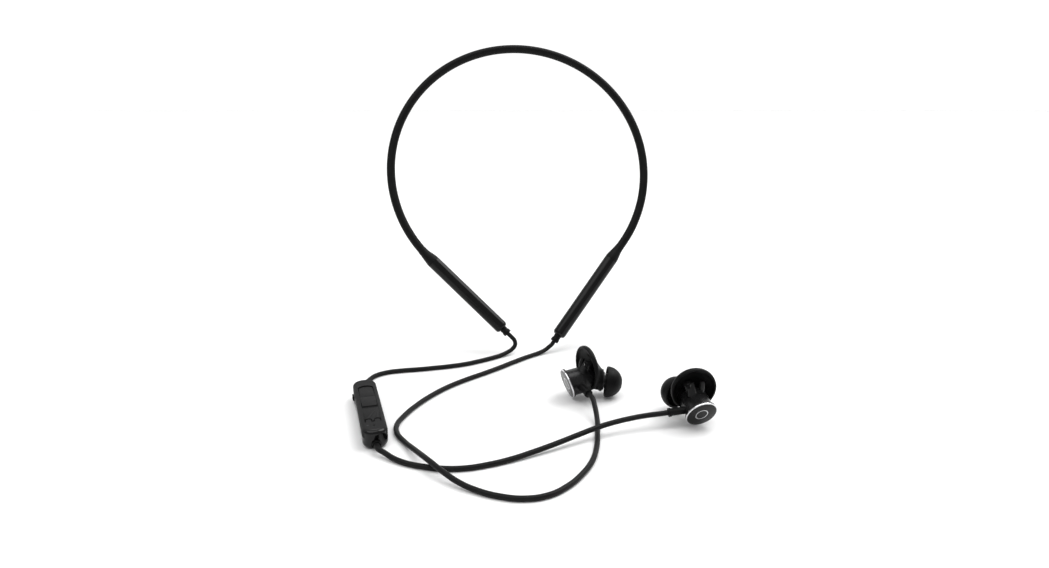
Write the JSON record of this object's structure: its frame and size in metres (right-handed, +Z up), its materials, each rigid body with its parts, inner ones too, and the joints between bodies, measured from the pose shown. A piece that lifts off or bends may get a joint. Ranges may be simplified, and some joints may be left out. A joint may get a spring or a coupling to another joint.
{
  "type": "neckband earphones",
  "caption": "Wireless earphones with a curved neckband on two slim sticks, an in-line remote, cords on the floor and earbuds with silicone tips and wings.",
  "frame": {"origin": "centre of the footprint of everything but the free cords, on the floor that the remote and cords lie on", "axes": "+Z up from the floor; +Y away from the side the remote and buds lie on, along the longest extent; +X to the right buds' side"},
  "size_m": [0.157, 0.212, 0.1557],
  "materials": {
    "soft_black": "satin",
    "stick_gloss": "gloss",
    "remote_gloss": "gloss",
    "remote_matte": "matte",
    "spring_steel": "drawn",
    "wire_red": "satin",
    "cell_wrap": "satin",
    "board_green": "matte",
    "tin_steel": "satin",
    "clear_lens": "clear",
    "disc_black": "gloss",
    "rim_bright": "diamond cut",
    "bud_metal": "anodised dark",
    "driver_metal": "satin",
    "silicone": "satin",
    "cord_black": "satin"
  },
  "bodies": {
    "earphones": {"neckband_sleeve": "soft_black", "memory_wire": "spring_steel", "lead_wires": "wire_red", "left_boot": "soft_black", "right_boot": "soft_black", "left_stick_front": "stick_gloss", "left_stick_back": "stick_gloss", "right_stick_front": "stick_gloss", "right_stick_back": "stick_gloss", "left_battery": "cell_wrap", "right_battery": "cell_wrap", "right_board": "board_green", "left_collar": "soft_black", "right_collar": "soft_black", "remote_base": "remote_gloss", "remote_cover": "remote_matte", "remote_end_cap": "remote_gloss", "remote_board": "board_green", "tact_switches": "tin_steel", "usb_socket": "tin_steel", "microphone": "tin_steel", "lamp_pipe": "clear_lens", "far_gland": "soft_black", "near_gland": "soft_black", "left_disc": "disc_black", "left_rim": "rim_bright", "left_barrel": "bud_metal", "left_magnet": "tin_steel", "left_driver": "driver_metal", "left_housing": "bud_metal", "left_mesh": "tin_steel", "left_wing": "silicone", "left_cord_boot": "soft_black", "right_disc": "disc_black", "right_rim": "rim_bright", "right_barrel": "bud_metal", "right_magnet": "tin_steel", "right_driver": "driver_metal", "right_housing": "bud_metal", "right_mesh": "tin_steel", "right_wing": "silicone", "right_cord_boot": "soft_black", "cord_remote_feed": "cord_black", "cord_right_bud": "cord_black", "cord_left_bud": "cord_black"},
    "volume_up": {"volume_up_button": "remote_matte"},
    "play": {"play_button": "remote_matte"},
    "volume_down": {"volume_down_button": "remote_matte"},
    "flap": {"port_cover": "soft_black"},
    "left_ear_tip": {"left_tip": "silicone"},
    "right_ear_tip": {"right_tip": "silicone"}
  },
  "joints": [
    {"name": "volume_up_press", "type": "slide", "parent": "earphones", "child": "volume_up", "axis": [0, 0, -1], "range_m": [0, 0.00025], "stiffness_N_per_m": 600},
    {"name": "play_press", "type": "slide", "parent": "earphones", "child": "play", "axis": [0, 0, -1], "range_m": [0, 0.00025], "stiffness_N_per_m": 600},
    {"name": "volume_down_press", "type": "slide", "parent": "earphones", "child": "volume_down", "axis": [0, 0, -1], "range_m": [0, 0.00025], "stiffness_N_per_m": 600},
    {"name": "port_cover_hinge", "type": "hinge", "parent": "earphones", "child": "flap", "pos_m": [-0.07444, -0.05155, 0.00245], "axis": [0, 0, 1], "range_deg": [0, 100]},
    {"name": "left_tip_pull", "type": "slide", "parent": "earphones", "child": "left_ear_tip", "axis": [0.9905, -0.0732, -0.1163], "range_m": [0, 0.006]},
    {"name": "right_tip_pull", "type": "slide", "parent": "earphones", "child": "right_ear_tip", "axis": [-0.5843, 0.8115, 0.0015], "range_m": [0, 0.006]}
  ]
}
